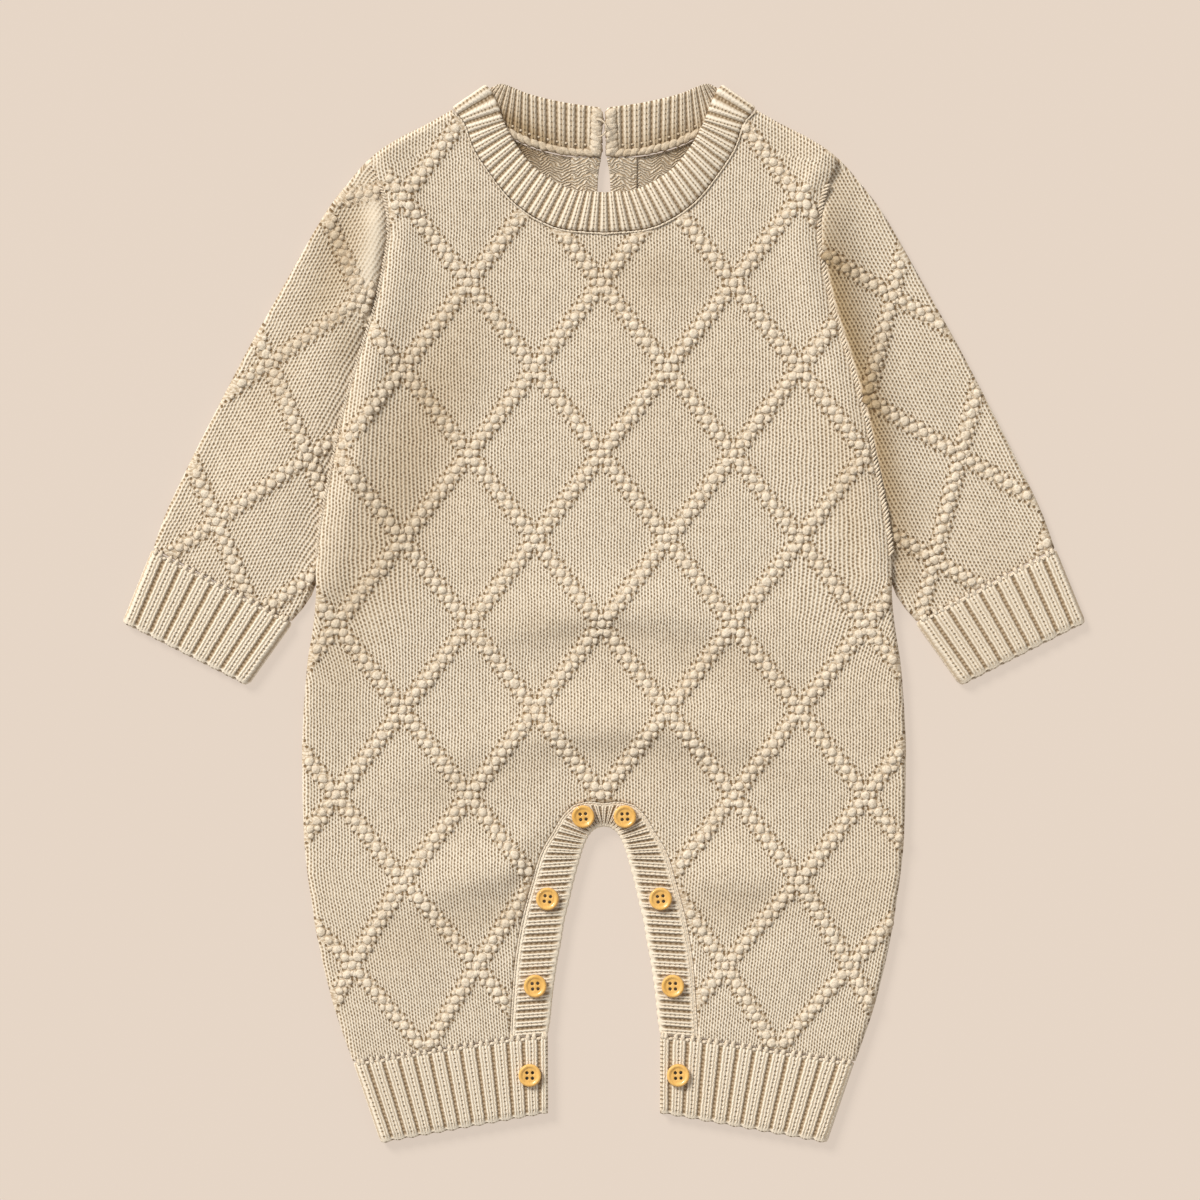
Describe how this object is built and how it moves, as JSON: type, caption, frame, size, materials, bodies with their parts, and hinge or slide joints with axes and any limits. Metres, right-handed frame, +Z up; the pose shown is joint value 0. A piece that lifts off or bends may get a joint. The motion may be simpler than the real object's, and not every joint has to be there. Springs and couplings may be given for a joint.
{
  "type": "baby romper",
  "caption": "Knitted one-piece for a baby, laid flat: long sleeves, ribbed cuffs and neckband, raised diamond lattice, wooden buttons along the crotch opening.",
  "frame": {"origin": "on the floor, in the middle of the laid-out romper's length and width", "axes": "+Y towards the neck, +X towards the right-hand sleeve as seen from above, +Z up off the floor through the front"},
  "size_m": [0.481, 0.5301, 0.0094],
  "materials": {
    "knit": "fine oat-coloured cotton knit, matt",
    "button_wood": "turned, yellow stained, satin"
  },
  "bodies": {
    "root": {"front": "knit", "back": "knit", "sleeve_left": "knit", "sleeve_right": "knit", "sleeve_cuff_left": "knit", "sleeve_cuff_right": "knit", "leg_cuff_left": "knit", "leg_cuff_right": "knit", "neckband": "knit", "crotch_band_front": "knit", "crotch_band_back": "knit", "back_facing_left": "knit", "back_facing_right": "knit", "button_left_1": "button_wood", "button_left_2": "button_wood", "button_left_3": "button_wood", "button_left_4": "button_wood", "button_right_1": "button_wood", "button_right_2": "button_wood", "button_right_3": "button_wood", "button_right_4": "button_wood"}
  },
  "joints": []
}
